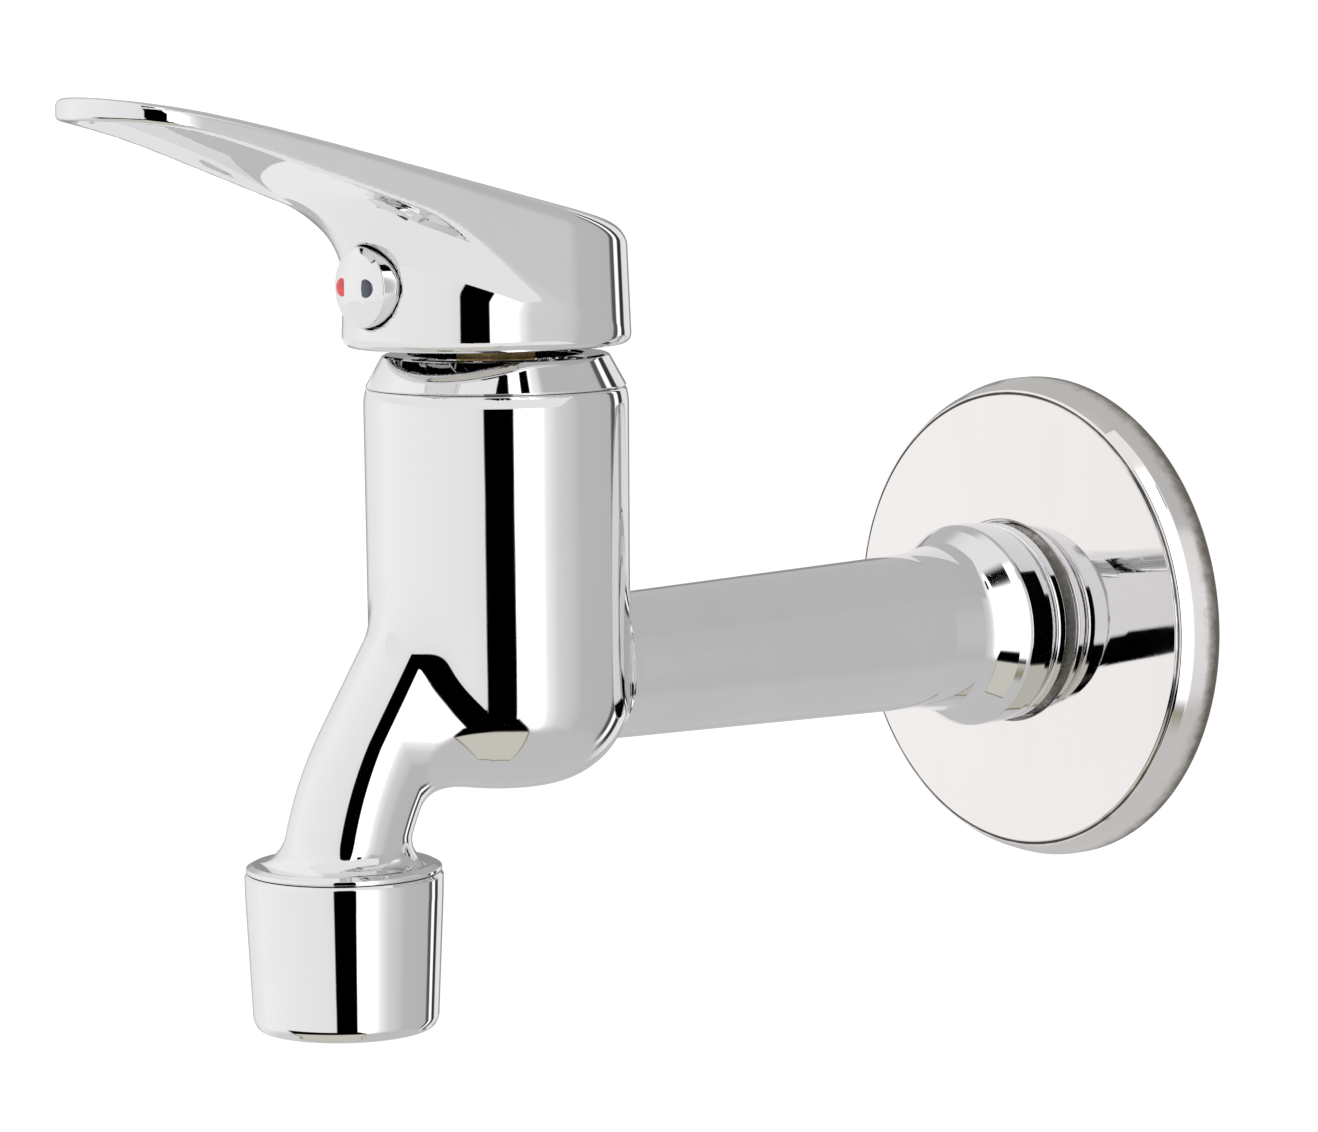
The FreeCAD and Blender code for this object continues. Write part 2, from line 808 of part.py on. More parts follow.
def make_handle():
    """Hollow chrome casting: head over the bonnet, broad lever forward, dished underneath."""
    back = -size("reach")
    bottom = size("handle_bottom")
    head_plan = plan_outline(
        size("handle_radius"), size("handle_front_radius"), size("handle_front_offset")
    )
    head_plan.translate(Vector(0, 0, bottom))
    head = extruded(head_plan, Vector(0, 0, 30))
    low = Part.LineSegment(side_point(-20, 40), side_point(24, 40))
    front = Part.LineSegment(side_point(24, 40), side_point(64, 70))
    head = shared(head, side_profile([low, front]))
    paddle = extruded(
        plan_outline(size("handle_radius"), size("lever_tip_radius"), size("lever_tip_offset")),
        Vector(0, 0, 90),
    )
    arm = shared(paddle, side_profile(arm_underside()))

    inset = size("lever_rim")
    dish_plan = plan_outline(
        size("handle_radius") - inset,
        size("lever_tip_radius") - inset - 1.2,
        size("lever_tip_offset") - 1.5,
    )
    dish = extruded(dish_plan, Vector(0, 0, 90))
    ceiling = [
        Part.LineSegment(side_point(22, 50), side_point(22, 62.2)),
        Part.LineSegment(side_point(22, 62.2), side_point(42, 68.2)),
        Part.LineSegment(side_point(42, 68.2), side_point(59, 71.9)),
        Part.LineSegment(side_point(59, 71.9), side_point(59, 50)),
        Part.LineSegment(side_point(59, 50), side_point(22, 50)),
    ]
    dish_side = Part.Wire([curve.toShape() for curve in ceiling])
    dish_side.translate(Vector(-20, 0, 0))
    dish = shared(dish, extruded(dish_side, Vector(40, 0, 0)))

    wall = size("handle_wall")
    cavity_plan = plan_outline(
        size("handle_radius") - wall,
        size("handle_front_radius") - wall,
        size("handle_front_offset"),
    )
    cavity_plan.translate(Vector(0, 0, bottom - 1))
    cavity = extruded(cavity_plan, Vector(0, 0, 11.2))
    half = size("stem_square") / 2
    boss = block("13", "26", "8", (-6.5, back - 18.5, 44.6))
    cavity = cut(cavity, boss)
    socket = block(
        "stem_square + 0.1",
        "stem_square + 0.1",
        "stem_top - handle_bottom + 1.2",
        (-half - 0.05, back - half - 0.05, bottom - 1),
    )
    height = size("button_height")
    screw_hole = cylinder("2.55", "12", (0, back - 2, height), (0, -1, 0))
    key_hole = cylinder("2.9", "12", (0, back - 9, height), (0, -1, 0))
    button_hole = cylinder("button_hole_radius", "10", (0, back - 16.8, height), (0, -1, 0))
    casting = cut(fused([head, arm]), dish, cavity, socket, screw_hole, key_hole, button_hole)
    keep(casting, "lever_handle")


def make_handle_fittings():
    """Grub screw on the stem, and the plug button with its two coloured dots."""
    back = -size("reach")
    height = size("button_height")
    half = size("stem_square") / 2
    screw = cylinder("2.5", "5.5", (0, back - half, height), (0, -1, 0))
    hexagon = doc.addObject("Part::Prism", "KeySocket")
    hexagon.Polygon = 6
    hexagon.Circumradius = 1.44
    hexagon.Height = 2.6
    facing = Rotation(Vector(0, 0, 1), Vector(0, -1, 0))
    hexagon.Placement = Placement(Vector(0, back - half - 3, height), facing)
    keep(cut(screw, hexagon), "handle_grub_screw")

    dome_radius = 12.0
    proud = 22.1
    stub = cylinder("button_radius", "7", (0, back - 16.8, height), (0, -1, 0))
    dome = doc.addObject("Part::Sphere", "ButtonDome")
    dome.Radius = dome_radius
    dome.Placement = Placement(Vector(0, back - proud + dome_radius, height), Rotation())
    button = shared(stub, dome)
    dots = {}
    depth = 0.8
    offset = size("dot_offset")
    for name, side in (("hot_dot", -1), ("cold_dot", 1)):
        seat = proud - dome_radius + math.sqrt(dome_radius**2 - offset**2) - depth
        place = (side * offset, back - seat, height)
        dots[name] = shared(cylinder("dot_radius", "3", place, (0, -1, 0)), dome)
    keep(cut(button, *dots.values()), "index_button")
    for name, dot in dots.items():
        keep(dot, name)


# ---------------------------------------------------------------- build, check, write


def check_document():
    """Stops if any object failed or any sub-part has no valid solid."""
    doc.recompute()
    failed = [o.Name for o in doc.Objects if {"Invalid", "Error"} & set(o.State)]
    if failed:
        raise ValueError(f"failed objects: {failed}")
    labels = [piece.Label for piece in pieces]
    if len(set(labels)) != len(labels):
        raise ValueError(f"labels repeat: {labels}")
    for piece in pieces:
        if piece.Shape.isNull() or not piece.Shape.isValid() or not piece.Shape.Solids:
            raise ValueError(f"{piece.Label} has no valid solid")


def write_steps():
    """One STEP file for each sub-part."""
    os.makedirs("parts", exist_ok=True)
    for piece in pieces:
        piece.Shape.exportStep(f"parts/{piece.Label}.step")
        solids = len(piece.Shape.Solids)
        print(f"{piece.Label}: {solids} solid(s), {piece.Shape.Volume:.1f} mm3")


make_tap_body()
make_shank()
make_flange()
make_aerator()
make_cartridge()
make_retainers()
make_handle()
make_handle_fittings()
check_document()
write_steps()
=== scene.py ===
import math

import bpy
import numpy as np
import openvdb
from mathutils import Matrix, Vector


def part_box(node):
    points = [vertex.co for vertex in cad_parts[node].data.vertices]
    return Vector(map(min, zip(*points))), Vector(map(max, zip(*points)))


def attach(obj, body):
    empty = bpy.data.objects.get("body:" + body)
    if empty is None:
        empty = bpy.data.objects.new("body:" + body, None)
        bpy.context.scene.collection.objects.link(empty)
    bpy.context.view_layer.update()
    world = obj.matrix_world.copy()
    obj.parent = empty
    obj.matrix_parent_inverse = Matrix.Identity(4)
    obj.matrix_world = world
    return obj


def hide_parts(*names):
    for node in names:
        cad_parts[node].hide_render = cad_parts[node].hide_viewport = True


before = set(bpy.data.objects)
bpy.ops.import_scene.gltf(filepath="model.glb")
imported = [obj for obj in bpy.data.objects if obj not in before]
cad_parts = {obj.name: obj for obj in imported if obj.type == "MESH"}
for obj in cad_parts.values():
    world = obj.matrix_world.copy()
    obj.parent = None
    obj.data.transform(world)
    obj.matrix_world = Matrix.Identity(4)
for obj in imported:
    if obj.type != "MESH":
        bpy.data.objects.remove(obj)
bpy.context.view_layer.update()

# Shapes are worked out in millimetres and written in metres.
MM = 0.001


def middle(node):
    """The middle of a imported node's box, in millimetres."""
    low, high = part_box(node)
    return (low + high) / 2 / MM


BARREL_Y = middle("bonnet_collar").y
OUTLET_Y = middle("aerator_sleeve").y
BUTTON_Z = middle("index_button").z
OUTLET_FORWARD = BARREL_Y - OUTLET_Y

# Axes that turned pieces are drawn round: (origin, direction).
BARREL_AXIS = ((0, BARREL_Y, 0), (0, 0, 1))
OUTLET_AXIS = ((0, OUTLET_Y, 0), (0, 0, 1))
WALL_AXIS = ((0, 0, 0), (0, -1, 0))
BUTTON_AXIS = ((0, BARREL_Y, BUTTON_Z), (0, -1, 0))


# ---------------------------------------------------------------- finishes


class Value:
    """A number that varies over a surface. Sums and products add Math nodes."""

    def __init__(self, finish, socket):
        self.finish = finish
        self.socket = socket

    def math(self, operation, *terms):
        """The result of one Math node on these terms."""
        return self.finish.value("ShaderNodeMath", {"operation": operation}, dict(enumerate(terms)))

    def __abs__(self):
        return self.math("ABSOLUTE", self)

    def __add__(self, other):
        return self.math("ADD", self, other)

    def __sub__(self, other):
        return self.math("SUBTRACT", self, other)

    def __rsub__(self, other):
        return self.math("SUBTRACT", other, self)

    def __mul__(self, other):
        return self.math("MULTIPLY", self, other)

    __radd__ = __add__
    __rmul__ = __mul__

    def between(self, low, high):
        """0 below low, 1 above high, and smooth between them."""
        span = {"From Min": low, "From Max": high, "Value": self}
        return self.finish.value("ShaderNodeMapRange", {"interpolation_type": "SMOOTHSTEP"}, span)


class Finish:
    """A material built up from nodes, in the piece's own millimetres."""

    def __init__(self, name, color, **surface):
        self.material = bpy.data.materials.new(name)
        self.material.use_nodes = True
        self.tree = self.material.node_tree
        self.shader = self.tree.nodes["Principled BSDF"]
        self.shader.inputs["Base Color"].default_value = (*color, 1)
        for socket, number in surface.items():
            label = "IOR" if socket == "ior" else socket.replace("_", " ").title()
            self.shader.inputs[label].default_value = number
        place = self.node("ShaderNodeTexCoord").outputs["Object"]
        self.place = self.vector("SCALE", place, {"Scale": 1 / MM})

    def node(self, kind, settings=None, sockets=None):
        """Any node: its type, its settings, then the values or links of its sockets."""
        made = self.tree.nodes.new(kind)
        for key, setting in (settings or {}).items():
            setattr(made, key, setting)
        for key, given in (sockets or {}).items():
            given = given.socket if isinstance(given, Value) else given
            if isinstance(given, bpy.types.NodeSocket):
                self.tree.links.new(given, made.inputs[key])
            else:
                made.inputs[key].default_value = given
        return made

    def value(self, kind, settings, sockets):
        """A node whose first output is a number."""
        return Value(self, self.node(kind, settings, sockets).outputs[0])

    def vector(self, operation, first, sockets=None):
        """A Vector Math node on a vector socket."""
        given = {0: first, **(sockets or {})}
        return self.node("ShaderNodeVectorMath", {"operation": operation}, given).outputs[0]

    def stretched(self, scales):
        """The place on the piece, stretched along its axes."""
        return self.vector("MULTIPLY", self.place, {1: scales})

    def noise(self, scale, detail=3.0, roughness=0.5, place=None, distortion=0.0):
        """Soft random variation; scale is in waves to the millimetre."""
        return self.value(
            "ShaderNodeTexNoise",
            {},
            {
                "Vector": place or self.place,
                "Scale": scale,
                "Detail": detail,
                "Roughness": roughness,
                "Distortion": distortion,
            },
        )

    def mixed(self, mask, first, second):
        """A colour between two colours; either may be a socket."""
        first, second = ((*c, 1) if isinstance(c, tuple) else c for c in (first, second))
        made = self.node("ShaderNodeMix", {"data_type": "RGBA"}, {"Factor": mask, 6: first, 7: second})
        return made.outputs[2]

    def feed(self, socket, given):
        """Links a number or colour that varies to the shader."""
        given = given.socket if isinstance(given, Value) else given
        self.tree.links.new(given, self.shader.inputs[socket])

    def bump(self, height, distance):
        """Raises the surface by height times distance, in millimetres."""
        sockets = {"Strength": 1.0, "Distance": distance * MM, "Height": height}
        self.feed("Normal", self.node("ShaderNodeBump", {}, sockets).outputs[0])


def plated(name, color=(0.8, 0.8, 0.81), ripple=0.004, smear=1.0, stain_and_crease_shade=None):
    """Bright chrome plate: faint ripple of the polished casting, wiped smears and fine hairlines.

    The stain and crease-shade argument is (level, crease), in millimetres: a brown film breaks through below
    that height off the wall, and a dark line of painted shade lies in the crease at that radius."""
    finish = Finish(name, color, metallic=1.0, roughness=0.05)
    wiped = finish.noise(0.045, 4, 0.6, finish.stretched((1.0, 1.0, 0.35)), 0.6).between(0.42, 0.74)
    hair = finish.noise(1.6, 2, 0.7, finish.stretched((1.0, 0.12, 1.0))).between(0.6, 0.72)
    specks = finish.noise(0.5, 2, 0.5).between(0.71, 0.76)
    dull = tuple(part * 0.93 for part in color)
    tinted = finish.mixed(wiped * (0.35 * smear), color, dull)
    rough = 0.022 + wiped * (0.03 * smear) + hair * 0.02 + specks * 0.08
    if stain_and_crease_shade:
        level, crease = stain_and_crease_shade
        parts = finish.node("ShaderNodeSeparateXYZ", {}, {0: finish.place}).outputs
        ragged = Value(finish, parts["Y"]) + finish.noise(0.6, 4, 0.7) * 2.4
        film = ragged.between(-level, 0.6)
        tinted = finish.mixed(film * 0.85, tinted, (0.1, 0.08, 0.045))
        # Painted shade: a near-black line round the crease radius stands in for the shade in the groove at
        # the face's rim.
        across = finish.vector("MULTIPLY", finish.place, {1: (1, 0, 1)})
        radius = finish.node("ShaderNodeVectorMath", {"operation": "LENGTH"}, {0: across}).outputs["Value"]
        far = abs(Value(finish, radius) - crease)
        line = 1.0 - (far + finish.noise(0.3, 3, 0.6) * 0.2).between(0.16, 0.36)
        tinted = finish.mixed(line * 0.9, tinted, (0.03, 0.028, 0.025))
        rough = rough + film * 0.35 + line * 0.2
    finish.feed("Roughness", rough)
    finish.feed("Base Color", tinted)
    waves = finish.noise(0.09, 1, 0.4)
    finish.bump(waves + hair * 0.004 + specks * 0.01, ripple * 10)
    return finish.material


def plated_thread():
    """Thread as plated: dull, with a chalky film of sealant in the roots."""
    finish = Finish("dull_plated_thread", (0.42, 0.41, 0.38), metallic=1.0, roughness=0.35)
    film = finish.noise(0.5, 5, 0.65).between(0.35, 0.68)
    grains = finish.noise(3.0, 3, 0.6)
    finish.feed("Base Color", finish.mixed(film * 0.75, (0.46, 0.45, 0.42), (0.2, 0.19, 0.16)))
    finish.feed("Roughness", 0.28 + film * 0.3 + grains * 0.1)
    finish.feed("Metallic", 1.0 - film * 0.35)
    finish.bump(grains + film * 0.6, 0.05)
    return finish.material


def brass(name, color, deep):
    """Bare turned brass: tool lines, and brown tarnish in patches."""
    finish = Finish(name, color, metallic=1.0, roughness=0.25)
    lines = finish.noise(1.2, 2, 0.5, finish.stretched((0.15, 0.15, 6.0)))
    tarnish = finish.noise(0.25, 4, 0.6).between(0.45, 0.75)
    finish.feed("Base Color", finish.mixed(tarnish * 0.7, color, deep))
    finish.feed("Roughness", 0.2 + lines * 0.12 + tarnish * 0.2)
    finish.bump(lines, 0.012)
    return finish.material


def steel(name, color, rough):
    """Stainless steel with a drawn grain."""
    finish = Finish(name, color, metallic=1.0, roughness=rough)
    grain = finish.noise(1.5, 3, 0.6, finish.stretched((8.0, 1.0, 1.0)))
    stain = finish.noise(0.4, 3, 0.5).between(0.5, 0.8)
    finish.feed("Roughness", rough + grain * 0.12)
    finish.feed("Base Color", finish.mixed(stain * 0.4, color, tuple(c * 0.6 for c in color)))
    finish.bump(grain, 0.01)
    return finish.material


def rubber(name):
    """Black moulded rubber with a powdery bloom."""
    finish = Finish(name, (0.02, 0.02, 0.021), roughness=0.6, ior=1.5)
    bloom = finish.noise(0.35, 4, 0.6).between(0.45, 0.8)
    grain = finish.noise(4.0, 3, 0.6)
    finish.feed("Base Color", finish.mixed(bloom * 0.5, (0.016, 0.016, 0.017), (0.06, 0.058, 0.055)))
    finish.feed("Roughness", 0.5 + bloom * 0.2 + grain * 0.1)
    finish.bump(grain, 0.02)
    return finish.material


def plastic(name, color):
    """Moulded acetal with a satin skin and faint lime staining."""
    finish = Finish(name, color, roughness=0.35, ior=1.48)
    skin = finish.noise(5.0, 3, 0.6)
    lime = finish.noise(0.5, 4, 0.6).between(0.5, 0.8)
    finish.feed("Base Color", finish.mixed(lime * 0.5, color, tuple(c * 0.78 for c in color)))
    finish.feed("Roughness", 0.3 + skin * 0.12 + lime * 0.25)
    finish.bump(skin, 0.015)
    return finish.material


def ceramic(name):
    """Lapped alumina: pale, fine grained, satin."""
    finish = Finish(name, (0.86, 0.84, 0.8), roughness=0.2, ior=1.75)
    grain = finish.noise(6.0, 2, 0.5)
    wear = finish.noise(0.3, 3, 0.5).between(0.5, 0.75)
    finish.feed("Base Color", finish.mixed(wear * 0.4, (0.87, 0.85, 0.81), (0.7, 0.68, 0.63)))
    finish.feed("Roughness", 0.16 + grain * 0.1 + wear * 0.1)
    finish.bump(grain, 0.006)
    return finish.material


def enamel(name, color, deep):
    """Glossy enamel in a dot, darker where it has pooled."""
    finish = Finish(name, color, roughness=0.12, ior=1.52, coat_weight=0.6, coat_roughness=0.04)
    pooled = finish.noise(1.4, 3, 0.5).between(0.4, 0.7)
    grain = finish.noise(7.0, 2, 0.5)
    finish.feed("Base Color", finish.mixed(pooled, color, deep))
    finish.feed("Roughness", 0.1 + grain * 0.12)
    finish.bump(pooled, 0.03)
    return finish.material


CHROME = plated("polished_chrome")
HANDLE_CHROME = plated("handle_chrome", ripple=0.003)
TURNED_CHROME = plated("turned_chrome", ripple=0.001)
PIPE_CHROME = plated("pipe_chrome", color=(0.8, 0.8, 0.82), ripple=0.004, smear=1.4)
# The flange gets a brown film by the wall, and a painted shade line in the crease round its face at radius
# 31.
FLANGE_CHROME = plated("flange_chrome", color=(0.83, 0.815, 0.81), ripple=0.002, stain_and_crease_shade=(2.0, 31.0))
THREAD = plated_thread()
BRASS = brass("bare_brass", (0.6, 0.44, 0.2), (0.26, 0.17, 0.08))
# This brass is painted near black: painted shade for the dark gap under the handle, where the cartridge nut
# shows through the bonnet's mouth.
BRASS_PAINTED_WITH_GAP_SHADE = brass("brass_painted_with_gap_shade", (0.14, 0.11, 0.07), (0.05, 0.04, 0.03))
STEEL = steel("stainless_pin", (0.6, 0.6, 0.6), 0.25)
WIRE = steel("screen_wire", (0.5, 0.49, 0.46), 0.3)
RUBBER = rubber("black_rubber")
ACETAL = plastic("white_acetal", (0.8, 0.8, 0.78))
ALUMINA = ceramic("lapped_alumina")
RED = enamel("red_enamel", (0.75, 0.02, 0.015), (0.5, 0.005, 0.006))
BLUE = enamel("blue_enamel", (0.004, 0.02, 0.06), (0.002, 0.006, 0.02))


# ---------------------------------------------------------------- mesh making


def piece(name, points, faces, normals, finish, body, stands_for=()):
    """A piece from points in millimetres, with its own normals; it rides on a body."""
    mesh = bpy.data.meshes.new(name)
    mesh.from_pydata((np.asarray(points) * MM).tolist(), [], faces)
    mesh.shade_smooth()
    if normals is not None:
        mesh.normals_split_custom_set_from_vertices(np.asarray(normals).tolist())
    mesh.materials.append(finish)
    thing = bpy.data.objects.new(name, mesh)
    bpy.context.scene.collection.objects.link(thing)
    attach(thing, body)
    if stands_for:
        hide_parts(*stands_for)
    return thing


# Where the corner of an outline gives no rounding, in millimetres, and the steps that arcs take.
PLAIN_ROUNDING = 0.12
ARC_STEP = math.radians(6)
ON_AXIS = 1e-9


def cross(a, b):
    """The turn from one flat direction to another: positive to the left."""
    return a[0] * b[1] - a[1] * b[0]


def rounded_profile(corners):
    """Points and outward normals of a closed outline whose (radius, height, rounding) corners are rounded."""
    flat = [np.array(c[:2], float) for c in corners]
    around = sum(cross(flat[i - 1], flat[i]) for i in range(len(flat)))
    if around < 0:
        corners = corners[::-1]
        flat = flat[::-1]
    count = len(flat)
    points, normals = [], []
    for i, corner in enumerate(corners):
        here, before, after = flat[i], flat[i - 1], flat[(i + 1) % count]
        run_in, run_out = np.linalg.norm(here - before), np.linalg.norm(after - here)
        into, out = (here - before) / run_in, (after - here) / run_out
        if here[0] == 0:
            along = out if before[0] == 0 else into
            points.append(here)
            normals.append(np.array([along[1], -along[0]]))
            continue
        turn = math.atan2(cross(into, out), into @ out)
        wanted = corner[2] if len(corner) > 2 else PLAIN_ROUNDING
        slope = math.tan(abs(turn) / 2)
        reach = min(wanted * slope, 0.45 * run_in, 0.45 * run_out)
        radius = reach / slope
        side = math.copysign(1, turn)
        first = np.array([into[1], -into[0]])
        centre = here - into * reach - first * radius * side
        steps = max(2, math.ceil(abs(turn) / ARC_STEP))
        for k in range(steps + 1):
            angle = turn * k / steps
            c, s = math.cos(angle), math.sin(angle)
            normal = np.array([c * first[0] - s * first[1], s * first[0] + c * first[1]])
            points.append(centre + normal * radius * side)
            normals.append(normal)
    return np.array(points), np.array(normals)


def axis_frame(axis):
    """The origin and the three directions of an axis."""
    origin, along = (np.array(v, float) for v in axis)
    sideways = np.array([1.0, 0.0, 0.0])
    return origin, sideways, np.cross(along, sideways), along


def turned(name, corners, axis, finish, body, stands_for=(), segments=192):
    """A piece turned round an axis. It is open along the axis where its ends have no radius."""
    profile, profile_normals = rounded_profile(corners)
    origin, e1, e2, e3 = axis_frame(axis)
    rows, points, normals = [], [], []
    angles = np.arange(segments) * 2 * math.pi / segments
    for (radius, height), (out, up) in zip(profile, profile_normals):
        if radius < ON_AXIS:
            rows.append([len(points)] * segments)
            points.append(origin + e3 * height)
            normals.append(e3 * math.copysign(1, up))
            continue
        rows.append(list(range(len(points), len(points) + segments)))
        for angle in angles:
            spoke = e1 * math.cos(angle) + e2 * math.sin(angle)
            points.append(origin + spoke * radius + e3 * height)
            normals.append(spoke * out + e3 * up)
    faces = []
    count = len(rows)
    for p in range(count):
        low, high = rows[p], rows[(p + 1) % count]
        if profile[p][0] < ON_AXIS and profile[(p + 1) % count][0] < ON_AXIS:
            continue
        for s in range(segments):
            t = (s + 1) % segments
            corner = [low[s], low[t], high[t], high[s]]
            faces.append(list(dict.fromkeys(corner)))
    piece(name, points, faces, normals, finish, body, stands_for)


def thread(name, axis, root, depth, pitch, start, end, finish, body):
    """A helical thread ridge on a cylinder of radius root, tapering out at both ends."""
    origin, e1, e2, e3 = axis_frame(axis)
    steps = 96
    run_out = 0.4 * steps
    foot, land, sunk = 0.46 * pitch, 0.12 * pitch, root - 0.25
    turns = (end - start) / pitch - 0.9
    total = int(turns * steps)
    points, faces = [], []
    for i in range(total + 1):
        angle = 2 * math.pi * i / steps
        spoke = e1 * math.cos(angle) + e2 * math.sin(angle)
        height = start + pitch * (0.45 + i / steps)
        crest = root + depth * min(1.0, i / run_out, (total - i) / run_out)
        for radius, offset in ((sunk, -foot), (crest, -land), (crest, land), (sunk, foot)):
            points.append(origin + spoke * radius + e3 * (height + offset))
    for i in range(total):
        a, b = i * 4, i * 4 + 4
        for j in range(4):
            k = (j + 1) % 4
            faces.append([a + j, b + j, b + k, a + k])
    faces.append([0, 1, 2, 3])
    faces.append([total * 4 + j for j in (3, 2, 1, 0)])
    made = piece(name, points, faces, None, finish, body)
    made.data.set_sharp_from_angle(angle=math.radians(25))


def edge(a, b, radius):
    """The space inside both a and b, with the edge between them rounded."""
    inside = np.minimum(np.maximum(a, b), -radius)
    return inside + np.hypot(np.maximum(a + radius, 0), np.maximum(b + radius, 0))


def fillet(a, b, radius):
    """The space inside a or b, with a hollow fillet between them."""
    return -edge(-a, -b, radius)


def ease(t):
    """0 to 1 with smooth ends."""
    t = np.clip(t, 0, 1)
    return t * t * (3 - 2 * t)


def cast(name, field, low, high, step, finish, body, stands_for=()):
    """A closed piece whose surface is where field(x, forward, z) is 0, in mm round the barrel's axis.

    Points of the first mesh move along the field's slope until they lie on that surface."""
    low = np.array(low, float)
    counts = [int((h - l) / step) + 2 for l, h in zip(low, high)]
    rows = [low[i] + step * np.arange(counts[i]) for i in range(3)]
    grid = openvdb.FloatGrid(background=3.0)
    grid.copyFromArray(field(*np.meshgrid(*rows, indexing="ij")).astype(np.float32))
    cells, _, faces = grid.convertToPolygons(isovalue=0.0, adaptivity=0.0)
    points = low + cells.astype(float) * step
    nudge = 0.02
    for _ in range(4):
        slope = np.empty_like(points)
        for i in range(3):
            shift = np.zeros(3)
            shift[i] = nudge
            ahead, behind = points + shift, points - shift
            slope[:, i] = (field(*ahead.T) - field(*behind.T)) / (2 * nudge)
        steep = np.maximum((slope**2).sum(1), 0.05)
        move = slope * (field(*points.T) / steep)[:, None]
        length = np.linalg.norm(move, axis=1)[:, None]
        points = points - move * np.minimum(1, 0.5 * step / np.maximum(length, 1e-9))
    normals = slope / np.linalg.norm(slope, axis=1)[:, None]
    a, b, c, d = (points[faces[:, i]] for i in range(4))
    facing = np.cross(c - a, d - b)
    if (facing * normals[faces[:, 0]]).sum() < 0:
        faces = faces[:, ::-1]
    place = points * (1, -1, 1) + (0, BARREL_Y, 0)
    turned_normals = normals * (1, -1, 1)
    piece(name, place, faces[:, ::-1].tolist(), turned_normals, finish, body, stands_for)


# ---------------------------------------------------------------- tap body

SEAM_Z = 36.9
BARREL_BOTTOM = -13.0
SEAT_Z = -21.4
BARREL_CORNER = 11.5
SPOUT_RADIUS = 7.6
SPOUT_BEND = 35.0
SPOUT_LEAN = math.radians(33.0)
OUTLET_LEAN = math.radians(11.0)
SEAT_RADIUS = 11.5
PIPE_RADIUS = 9.2
PIPE_BORE = 6.5
CHAMBER_RADIUS = 12.7
CHAMBER_FLOOR = 5.0
NUT_RADIUS = 14.0
NUT_FLOOR = 29.0


def barrel_radius(z):
    """The barrel's slight taper."""
    return 16.35 + 0.25 * (z - BARREL_BOTTOM) / 48.8


def spout_distance(x, w, z, radius):
    """Distance outside a round bar along the spout's line: straight, a bend, straight again."""
    middle_w = OUTLET_FORWARD - SPOUT_BEND * math.cos(OUTLET_LEAN)
    middle_z = SEAT_Z + 1.0 - SPOUT_BEND * math.sin(OUTLET_LEAN)
    dw, dz = w - middle_w, z - middle_z
    angle = np.arctan2(dz, dw)
    held = np.clip(angle, OUTLET_LEAN, SPOUT_LEAN)
    off = dw * np.cos(held) + dz * np.sin(held) - SPOUT_BEND
    return np.hypot(off, x) - radius


def body_field(x, w, z):
    """Barrel, spout, outlet seat and a bead round the pipe, less the chamber and the waterway."""
    r = np.hypot(x, w)
    barrel = edge(r - barrel_radius(z), BARREL_BOTTOM - z, BARREL_CORNER)
    spout = spout_distance(x, w, z, SPOUT_RADIUS)
    spout = np.maximum(spout, SEAT_Z + 0.2 - z)
    spout = np.maximum(spout, z - 12)
    throat = 2.0 + 4.0 * ease((4 - z) / 9)
    casting = fillet(barrel, spout, throat)
    outlet_r = np.hypot(x, w - OUTLET_FORWARD)
    seat = np.maximum(outlet_r - SEAT_RADIUS, np.abs(z - SEAT_Z - 0.45) - 0.4)
    casting = fillet(casting, seat, 3.6)
    casting = np.maximum(casting, SEAT_Z + 0.05 - z)
    pipe = np.hypot(x, z) - PIPE_RADIUS - 0.05
    bead = edge(np.maximum(pipe, w + 8), barrel - 1.0, 0.3)
    casting = fillet(casting, bead, 1.0)
    chamfer = 0.958 * (r - 16.6) + 0.287 * (z - 35.75)
    casting = edge(casting, chamfer, 0.3)
    casting = edge(casting, z - SEAM_Z, 0.35)
    chamber = np.maximum(r - CHAMBER_RADIUS, CHAMBER_FLOOR - z)
    chamber = np.minimum(chamber, np.maximum(r - NUT_RADIUS, NUT_FLOOR - z))
    waterway = np.maximum(np.hypot(x, z) - PIPE_BORE, w + 13.2)
    return np.maximum(np.maximum(casting, -chamber), -waterway)


cast(
    "barrel_and_spout", body_field, (-18.2, -19.2, -23), (18.2, 38.5, 38), 0.36,
    CHROME, "tap", ("tap_body",),
)
OUTLET_ROOT = 10.3
OUTLET_BORE = 7.0
OUTLET_END = SEAT_Z - 5.6

turned(
    "outlet_seat_ring",
    [
        (OUTLET_BORE, OUTLET_END, 0.1),
        (OUTLET_ROOT, OUTLET_END, 0.3),
        (OUTLET_ROOT, SEAT_Z, 0.05),
        (11.9, SEAT_Z, 0.1),
        (12.05, SEAT_Z + 0.15, 0.1),
        (12.05, SEAT_Z + 0.55, 0.2),
        (11.2, SEAT_Z + 1.0, 0.4),
        (9.0, SEAT_Z + 0.9, 0.1),
        (OUTLET_BORE, SEAT_Z + 0.6, 0.1),
    ],
    OUTLET_AXIS, CHROME, "tap",
)
thread(
    "outlet_thread", OUTLET_AXIS, OUTLET_ROOT, 0.55, 1.0, OUTLET_END + 0.1, SEAT_Z - 0.2,
    TURNED_CHROME, "tap",
)


# ---------------------------------------------------------------- shank and flange

# Heights are measured from the wall; the thread stops either side of the groove level with it.
SHANK_BACK = -13.0
SHANK_FRONT = 82.8
THREAD_ROOT = 12.06
THREAD_DEPTH = 1.16
THREAD_PITCH = 1.814
THREAD_STRETCHES = {"behind_wall": (SHANK_BACK + 0.1, -0.1), "before_wall": (0.5, 9.3)}

